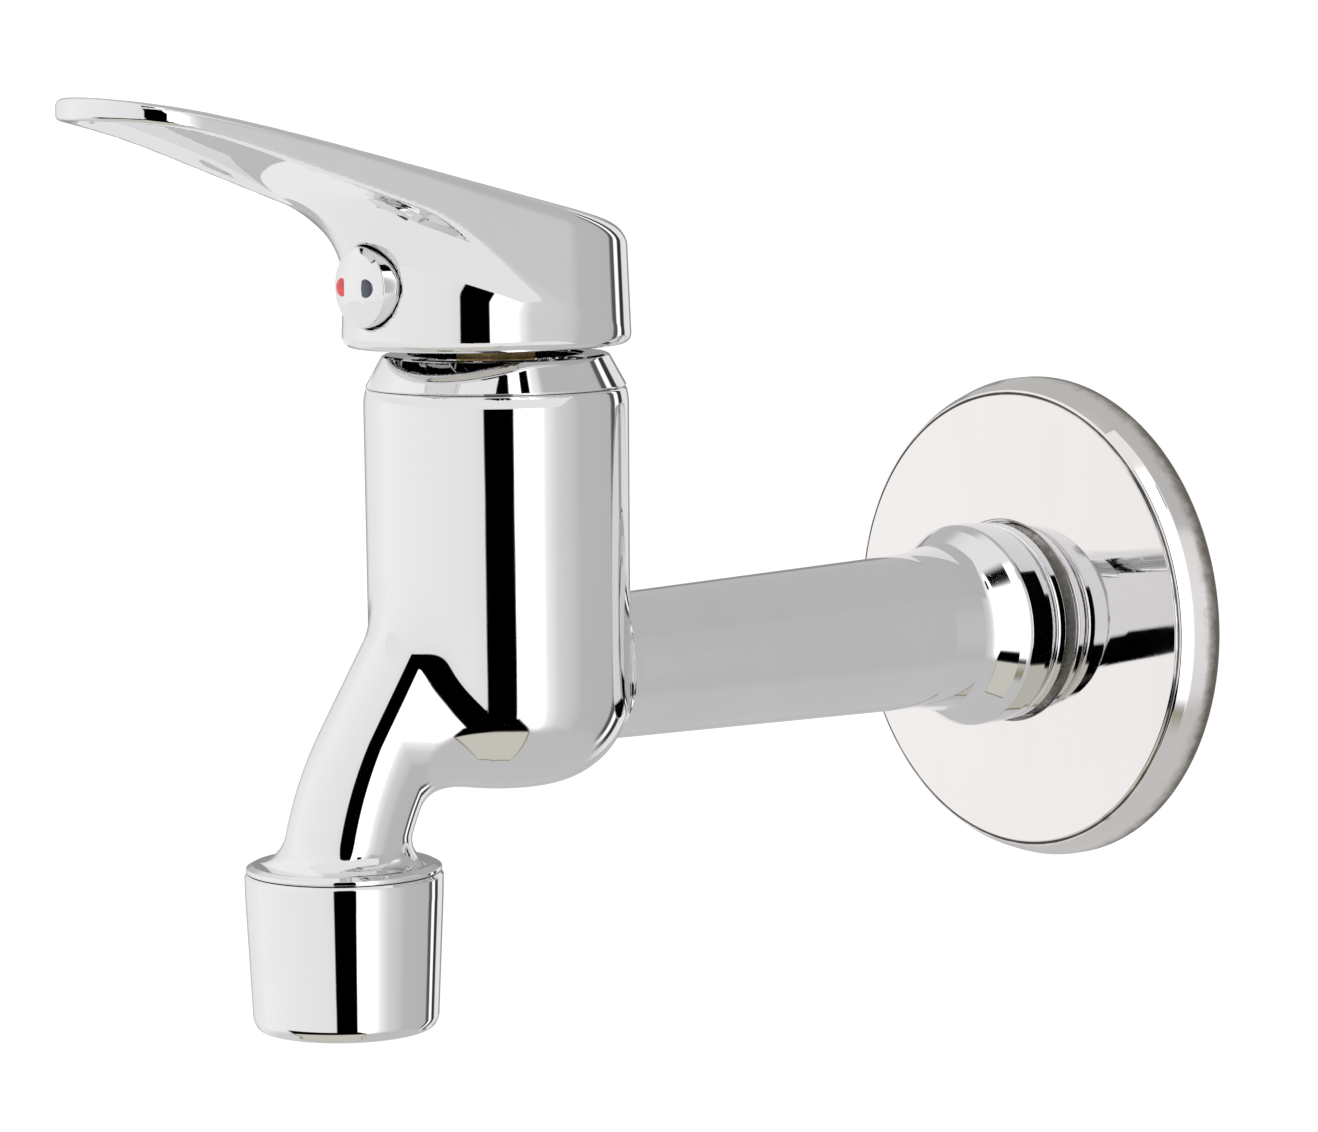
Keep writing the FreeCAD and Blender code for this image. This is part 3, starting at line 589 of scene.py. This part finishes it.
turned(
    "turned_shank",
    [
        (PIPE_BORE, SHANK_BACK, 0.3),
        (12.0, SHANK_BACK, 0.6),
        (THREAD_ROOT, 9.5, 0.1),
        (13.5, 9.5, 0.35),
        (13.55, 11.1, 0.6),
        (12.7, 11.3, 0.15),
        (12.7, 11.8, 0.15),
        (13.6, 11.9, 0.7),
        (13.75, 13.2, 1.6),
        (13.72, 16.3, 1.6),
        (13.0, 17.6, 0.8),
        (10.95, 20.9, 5.0),
        (10.4, 27.0, 7.0),
        (PIPE_RADIUS, 80.0, 1.0),
        (PIPE_RADIUS, SHANK_FRONT, 0.2),
        (PIPE_BORE, SHANK_FRONT, 0.2),
    ],
    WALL_AXIS, PIPE_CHROME, "tap", ("inlet_shank",), 256,
)
for stretch, (start, end) in THREAD_STRETCHES.items():
    thread(
        "inlet_thread_" + stretch, WALL_AXIS, THREAD_ROOT, THREAD_DEPTH, THREAD_PITCH, start, end,
        THREAD, "tap",
    )

FLANGE_HOLE = 13.55
FLANGE_HUB = 15.55
FLANGE_RADIUS = 33.0

turned(
    "spun_flange",
    [
        (FLANGE_HOLE, 0.8, 0.15),
        (FLANGE_HUB, 0.8, 0.3),
        (FLANGE_HUB, 6.0, 0.6),
        (28.9, 4.0, 1.5),
        (31.0, 1.4, 0.8),
        (31.0, 0.0, 0.3),
        (32.7, 0.0, 0.3),
        (FLANGE_RADIUS, 0.5, 0.4),
        (FLANGE_RADIUS, 2.2, 2.0),
        (32.25, 4.5, 2.2),
        (31.4, 6.0, 1.0),
        (31.15, 6.15, 0.2),
        (31.0, 5.95, 0.15),
        (30.7, 6.4, 0.3),
        (13.9, 8.2, 0.3),
        (FLANGE_HOLE, 7.9, 0.15),
    ],
    WALL_AXIS, FLANGE_CHROME, "flange", ("wall_flange",), 320,
)
turned(
    "seal_ring",
    [(25.5, 0, 0.4), (29.8, 0, 0.4), (29.8, 2.4, 0.5), (28.5, 3.6, 0.5), (25.5, 4.0, 0.6)],
    WALL_AXIS, RUBBER, "flange", ("wall_seal_ring",),
)


# ---------------------------------------------------------------- aerator

SLEEVE_TOP = SEAT_Z - 0.1
SLEEVE_FOOT = -40.9
SLEEVE_MOUTH = 9.2
SLEEVE_BORE = 10.6
SLEEVE_THREAD = 10.98
LIP_Z = -38.6
STEP_Z = -28.6

turned(
    "sleeve_shell",
    [
        (SLEEVE_THREAD, SLEEVE_TOP, 0.08),
        (11.9, SLEEVE_TOP, 0.15),
        (12.25, SEAT_Z - 0.5, 0.25),
        (12.2, SEAT_Z - 3.0, 8.0),
        (11.45, SLEEVE_FOOT + 1.2, 2.0),
        (10.9, SLEEVE_FOOT, 0.9),
        (SLEEVE_MOUTH, SLEEVE_FOOT, 0.15),
        (SLEEVE_MOUTH, LIP_Z, 0.1),
        (SLEEVE_BORE, LIP_Z, 0.1),
        (SLEEVE_BORE, STEP_Z, 0.1),
        (SLEEVE_THREAD, STEP_Z, 0.1),
    ],
    OUTLET_AXIS, CHROME, "outlet_sleeve", ("aerator_sleeve",), 256,
)


def woven_screen(name, level, radius, stands_for=()):
    """A disc of crossing wires, each waved over and under its neighbours."""
    origin = np.array([0.0, OUTLET_Y, level])
    pitch, wire, sides = 0.85, 0.13, 6
    count = int(radius / pitch)
    points, normals, faces = [], [], []
    for turn in (0, 1):
        for row in range(-count, count + 1):
            offset = row * pitch
            half = math.sqrt(max(radius**2 - offset**2, 0.3))
            steps = max(6, int(half * 8 / pitch))
            first = len(points)
            for i in range(steps + 1):
                along = -half + 2 * half * i / steps
                phase = math.pi * (along / pitch + row + turn)
                height = wire * 0.95 * math.cos(phase)
                for k in range(sides):
                    angle = 2 * math.pi * k / sides
                    c, s = math.cos(angle), math.sin(angle)
                    local = np.array([along, offset + wire * c, height + wire * s])
                    facing = np.array([0.0, c, s])
                    if turn:
                        local = local[[1, 0, 2]] * (1, -1, 1)
                        facing = facing[[1, 0, 2]] * (1, -1, 1)
                    points.append(origin + local)
                    normals.append(facing)
            for i in range(steps):
                for k in range(sides):
                    a, b = first + i * sides + k, first + i * sides + (k + 1) % sides
                    faces.append([a, b, b + sides, a + sides][::-1])
            faces.append([first + k for k in range(sides)])
            last = first + steps * sides
            faces.append([last + k for k in range(sides)][::-1])
    piece(name, points, faces, normals, WIRE, "outlet_insert", stands_for)


SCREEN_RADIUS = 8.9

woven_screen("upper_screen", -34.9, SCREEN_RADIUS, ("aerator_screens",))
woven_screen("lower_screen", -36.1, SCREEN_RADIUS)


# ---------------------------------------------------------------- bonnet and handle

BONNET_FOOT = 35.2
BONNET_TOP = 41.05
BONNET_SPIGOT = 13.95
BONNET_BORE = 12.9
BONNET_MOUTH = 10.9

turned(
    "bonnet_ring",
    [
        (BONNET_BORE, BONNET_FOOT, 0.1),
        (BONNET_SPIGOT, BONNET_FOOT, 0.1),
        (BONNET_SPIGOT, SEAM_Z + 0.02, 0.05),
        (16.15, SEAM_Z + 0.02, 0.1),
        (16.3, SEAM_Z + 0.2, 0.12),
        (14.25, 40.85, 0.3),
        (13.9, BONNET_TOP, 0.3),
        (11.2, BONNET_TOP, 0.15),
        (BONNET_MOUTH, 40.75, 0.15),
        (BONNET_MOUTH, 39.2, 0.1),
        (BONNET_BORE, 38.4, 0.1),
    ],
    BARREL_AXIS, CHROME, "tap", ("bonnet_collar",), 256,
)

HANDLE_BOTTOM = 42.2
HEAD_RADIUS = 16.75
HEAD_NOSE_RADIUS = 16.1
HEAD_NOSE_FORWARD = 3.5
TIP_RADIUS = 12.2
TIP_FORWARD = 50.1
HEAD_WALL = 2.2
CAVITY_TOP = 52.4
BOSS_BOTTOM = 44.6
STEM_HALF_WIDTH = 3.55
STEM_SOCKET_TOP = 52.2
SCREW_WAY_RADIUS = 2.7
BUTTON_RADIUS = 5.0
BUTTON_HOLE_RADIUS = 5.15
BUTTON_BACK = 16.8


def taper_plan(x, w, back, front, offset):
    """Distance outside the shape round two circles, back at 0 and front at offset, seen from above."""
    lean = (back - front) / offset
    rise = math.sqrt(1 - lean * lean)
    side = np.abs(x)
    along = side * -lean + w * rise
    near_back = np.hypot(side, w) - back
    near_front = np.hypot(side, w - offset) - front
    flank = side * rise + w * lean - back
    return np.where(along < 0, near_back, np.where(along > offset * rise, near_front, flank))


def lever_top(x, w):
    """Height of the lever's top: straight, then levelling to the tip, and a little crowned."""
    return 60.12 + 0.249 * w - 4.7e-5 * np.maximum(w - 30, 0) ** 3 - 0.0022 * x * x


def lever_underside(plan, w):
    """Height of the lever's lower face: a rim, and a shallow dish inside it."""
    rim = 60.0 + 0.345 * (w - 22) - 1.88e-4 * np.maximum(w - 38, 0) ** 3
    depth = 1.5 * ease((w - 20) / 16) * (1 - ease((w - 50) / 10))
    return rim + depth * ease((-plan - 1.2) / 1.3)


def handle_field(x, w, z):
    """Head and lever, less the button's hole, the cavity, the stem's socket and the screw's way."""
    draft = 0.035 * (np.clip(z, 42, 60) - 50)
    plan = taper_plan(x, w, HEAD_RADIUS, TIP_RADIUS, TIP_FORWARD) + draft
    head = taper_plan(x, w, HEAD_RADIUS, HEAD_NOSE_RADIUS, HEAD_NOSE_FORWARD) + draft
    low = (lever_underside(plan, w) - z) * 0.94
    body = fillet(head, low, 7.5)
    body = edge(body, plan, 0.55)
    body = edge(body, z - lever_top(x, w), 2.4 - 1.5 * ease((w + 5) / 40))
    body = edge(body, HANDLE_BOTTOM - z, 1.3)
    up, across = z - BUTTON_Z, np.abs(x)
    from_screw = np.hypot(x, up)
    hole = np.maximum(from_screw - BUTTON_HOLE_RADIUS, BUTTON_BACK - w)
    body = edge(body, -hole, 0.4)
    cavity = np.maximum(head + HEAD_WALL, z - CAVITY_TOP)
    boss = np.maximum(np.maximum(across - 6.5, np.abs(w - 5.5) - 13), BOSS_BOTTOM - z)
    cavity = np.maximum(cavity, -boss)
    socket = np.maximum(across, np.abs(w)) - STEM_HALF_WIDTH
    socket = np.maximum(socket, z - STEM_SOCKET_TOP)
    screw_way = np.maximum(from_screw - SCREW_WAY_RADIUS, np.abs(w - 11) - 9)
    hollow = np.minimum(np.minimum(cavity, socket), screw_way)
    return edge(body, -hollow, 0.25)


cast(
    "lever_casting", handle_field, (-18, -18, 41), (18, 63.6, 75.5), 0.4,
    HANDLE_CHROME, "lever", ("lever_handle",),
)
turned(
    "button_cap",
    [
        (0, BUTTON_BACK),
        (BUTTON_RADIUS, BUTTON_BACK, 0.2),
        (BUTTON_RADIUS, 20.95, 0.25),
        (4.2, 21.33, 1.2),
        (2.9, 21.75, 4.0),
        (1.4, 22.02, 6.0),
        (0, 22.1),
    ],
    BUTTON_AXIS, HANDLE_CHROME, "lever", ("index_button",), 128,
)

DOT_OFFSET = 2.35
DOT_RADIUS = 1.15
DOT_BACK = 21.1
DOT_FACE = 21.9
DOT_OUTLINE = [
    (0, DOT_BACK),
    (DOT_RADIUS, DOT_BACK, 0.05),
    (DOT_RADIUS, DOT_FACE, 0.12),
    (0.6, DOT_FACE + 0.06, 0.3),
    (0, DOT_FACE + 0.08),
]
DOTS = (
    ("red_dot", -DOT_OFFSET, RED, "red_enamel", "hot_dot"),
    ("blue_dot", DOT_OFFSET, BLUE, "blue_enamel", "cold_dot"),
)
for dot, offset, paint, slot, node in DOTS:
    axis = ((offset, BARREL_Y, BUTTON_Z), (0, -1, 0))
    turned(dot, DOT_OUTLINE, axis, paint, "lever", (node,), 48)


# ---------------------------------------------------------------- pieces kept from the frame

KEPT = {
    "aerator_gasket": RUBBER,
    "aerator_insert": ACETAL,
    "aerator_diffuser": ACETAL,
    "cartridge_base": ACETAL,
    "base_seals": RUBBER,
    "cartridge_housing": ACETAL,
    "fixed_ceramic_disc": ALUMINA,
    "moving_ceramic_disc": ALUMINA,
    "disc_carrier": ACETAL,
    "spindle_guide": ACETAL,
    "guide_o_ring": RUBBER,
    "stem_pin": STEEL,
    "lever_stem": BRASS,
    # The nut takes the brass painted dark as the shade in the gap under the handle.
    "cartridge_nut": BRASS_PAINTED_WITH_GAP_SHADE,
    "nut_slip_ring": ACETAL,
    "handle_grub_screw": STEEL,
}
for name, finish in KEPT.items():
    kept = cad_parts[name]
    kept.data.materials.clear()
    kept.data.materials.append(finish)


# ---------------------------------------------------------------- studio

FLOOR_Z = -0.16
DOME_RADIUS = 3.0

# Brightness of the grey paper at the right and behind, of the ceiling, and of the table before and
# beyond the mat; then the mat's colour and that of its edge.
PAPER = 0.56
SKY = 0.95
TABLE = 0.62
TABLE_GLOW = 0.14
MAT = (0.68, 0.66, 0.58)
MAT_EDGE = (0.3, 0.28, 0.17)

# What stands round the tap: (azimuth in degrees, brightness). Azimuth 0 is in front of the tap and
# 90 at the right as seen from there. The list runs once round, from LAST_CARD - 360 to LAST_CARD,
# and two azimuths close together are the edge of a card.
LAST_CARD = 260
CARDS = [
    (-100, 0.88), (-97, 0.92), (-60, 1.05), (-20, 1.0), (30, 0.95), (40.6, 0.9), (41.6, 0.0),
    (66.4, 0.0), (67.2, 1.75), (87, 1.7), (95, 1.05), (106, 0.78), (120, 0.68), (129, 0.58),
    (168, PAPER), (171, 0.12), (176, 0.1), (178, 1.3), (183, 1.3), (185, 0.04), (192, 0.05),
    (194, 0.9), (212, 0.9), (214, 0.3), (242, 0.34), (256, 0.85), (260, 0.88),
]


def band(angle, start, rise, stop, fall):
    """1 between start and stop, with soft edges of widths rise and fall after them."""
    return ease((angle - start) / rise) * (1 - ease((angle - stop) / fall))


def card_light(azimuth, height):
    """Brightness of the studio, as a colour, in a direction given in degrees."""
    azimuth = np.where(azimuth < LAST_CARD - 360, azimuth + 360, azimuth)
    depth = -height
    wall = np.interp(azimuth, [a for a, _ in CARDS], [b for _, b in CARDS])
    paper_foot = 34 - 22 * ease((azimuth - 203) / 8)
    paper = band(azimuth, 100, 8, 250, 8) * ease((np.abs(height) - paper_foot) / 5)
    wall = wall * (1 - paper) + PAPER * paper
    up = ease((height - 60) / 12) * (1 - paper)
    wall = wall * (1 - up) + SKY * up
    table = TABLE + TABLE_GLOW * (1 - band(azimuth, 66, 14, 250, 8)) * (1 - ease((depth - 50) / 20))
    below = ease((depth - 27) / 14)
    wall = wall * (1 - below) + table * below
    right_edge = 67 + 12 * ease((depth - 18) / 20)
    facing = band(azimuth, -30, 8, right_edge, 3)
    table_edge = band(depth, 20, 2.5, 37, 2) * facing
    mat = band(depth, 37, 2, 78, 3) * facing
    black_card = band(height, 46, 3, 58, 3) * band(azimuth, 80, 1, 90, 1)
    dark = np.maximum(table_edge, black_card)[..., None]
    outline = (4 * mat * (1 - mat))[..., None]
    mat = mat[..., None]
    color = np.stack([wall * 1.01, wall, wall * 0.992], -1)
    color = color * (1 - mat) + np.array(MAT) * mat
    color = color * (1 - outline) + np.array(MAT_EDGE) * outline
    return color * (1 - dark)


def glow(name, attribute):
    """An emitting finish whose colour is stored on the mesh."""
    material = bpy.data.materials.new(name)
    material.use_nodes = True
    tree = material.node_tree
    tree.nodes.clear()
    stored = tree.nodes.new("ShaderNodeAttribute")
    stored.attribute_name = attribute
    light = tree.nodes.new("ShaderNodeEmission")
    result = tree.nodes.new("ShaderNodeOutputMaterial")
    tree.links.new(stored.outputs["Color"], light.inputs["Color"])
    tree.links.new(light.outputs[0], result.inputs["Surface"])
    material.cycles.emission_sampling = "NONE"
    return material


def make_dome():
    """Cards and flags all round, seen only in reflections."""
    columns, rows = 720, 120
    azimuth = np.linspace(-180, 180, columns, endpoint=False)
    height = np.linspace(-90, 90, rows + 1)
    a, h = np.meshgrid(azimuth, height)
    ra, rh = np.radians(a), np.radians(h)
    across = DOME_RADIUS * np.cos(rh)
    points = np.stack([across * np.sin(ra), -across * np.cos(ra), DOME_RADIUS * np.sin(rh)], -1)
    points = points.reshape(-1, 3) + (0, BARREL_Y * MM, 0.02)
    faces = []
    for j in range(rows):
        for i in range(columns):
            k = (i + 1) % columns
            low, high = j * columns, (j + 1) * columns
            faces.append([low + i, low + k, high + k, high + i])
    mesh = bpy.data.meshes.new("studio_cards")
    mesh.from_pydata(points.tolist(), [], faces)
    stored = mesh.attributes.new("card_light", "FLOAT_COLOR", "POINT")
    color = np.ones((len(points), 4))
    color[:, :3] = card_light(a, h).reshape(-1, 3)
    stored.data.foreach_set("color", color.ravel())
    mesh.materials.append(glow("card_glow", "card_light"))
    show_in_reflections(mesh)


def make_near_cards():
    """White cards close to the handle: a half ring under its throat, and an upright one beside it.

    They keep the dark table out of the throat and the black card out of the lever's top."""
    points, faces = [], []
    count, span = 48, 200
    ring_z, inner, outer = 0.0395, 0.0225, 0.054
    for i in range(count + 1):
        angle = math.radians(span * i / count - span / 2)
        for radius in (inner, outer):
            points.append((radius * math.sin(angle), BARREL_Y * MM - radius * math.cos(angle), ring_z))
    for i in range(0, 2 * count, 2):
        faces.append([i, i + 1, i + 3, i + 2])
    beside, back, front, foot, top = 0.05, -0.1, -0.21, 0.1, 0.13
    first = len(points)
    points += [(beside, y, z) for y, z in ((back, foot), (front, foot), (front, top), (back, top))]
    faces.append([first, first + 1, first + 2, first + 3])
    mesh = bpy.data.meshes.new("near_cards")
    mesh.from_pydata(points, [], faces)
    stored = mesh.attributes.new("card_light", "FLOAT_COLOR", "POINT")
    stored.data.foreach_set("color", [0.96, 0.95, 0.94, 1.0] * len(points))
    mesh.materials.append(bpy.data.materials["card_glow"])
    show_in_reflections(mesh)


def show_in_reflections(mesh):
    """Puts a card in the studio that only reflections show."""
    card = bpy.data.objects.new(mesh.name, mesh)
    bpy.context.scene.collection.objects.link(card)
    card.visible_camera = False
    card.visible_diffuse = False
    card.visible_shadow = False


def make_floor():
    """A plain pale floor well below the tap."""
    finish = Finish("pale_floor", (0.92, 0.915, 0.905), roughness=0.9)
    wide = 12.0
    mesh = bpy.data.meshes.new("floor")
    corners = [(-wide, -wide), (wide, -wide), (wide, wide), (-wide, wide)]
    mesh.from_pydata([(x, y, FLOOR_Z) for x, y in corners], [], [[0, 1, 2, 3]])
    mesh.materials.append(finish.material)
    floor = bpy.data.objects.new("floor", mesh)
    bpy.context.scene.collection.objects.link(floor)
    floor.visible_glossy = False


def make_world():
    """Even white light."""
    world = bpy.data.worlds.new("studio")
    world.use_nodes = True
    background = world.node_tree.nodes["Background"]
    background.inputs["Color"].default_value = (1, 1, 1, 1)
    background.inputs["Strength"].default_value = 1.2
    bpy.context.scene.world = world
    bpy.context.scene.view_settings.view_transform = "Standard"


def make_camera():
    """The camera, at the right as seen from the front, and a little above the tap."""
    camera = bpy.data.objects.new("camera", bpy.data.cameras.new("camera"))
    camera.data.lens = 135
    camera.data.sensor_width = 36
    camera.location = (0.48608, -0.47521, 0.08225)
    target = Vector((0.01171, -0.07955, 0.01395))
    aim = (target - camera.location).to_track_quat("-Z", "Y")
    roll = math.radians(-0.56)
    camera.rotation_euler = (aim.to_matrix() @ Matrix.Rotation(roll, 3, "Z")).to_euler()
    bpy.context.scene.collection.objects.link(camera)
    bpy.context.scene.camera = camera


make_dome()
make_near_cards()
make_floor()
make_world()
make_camera()
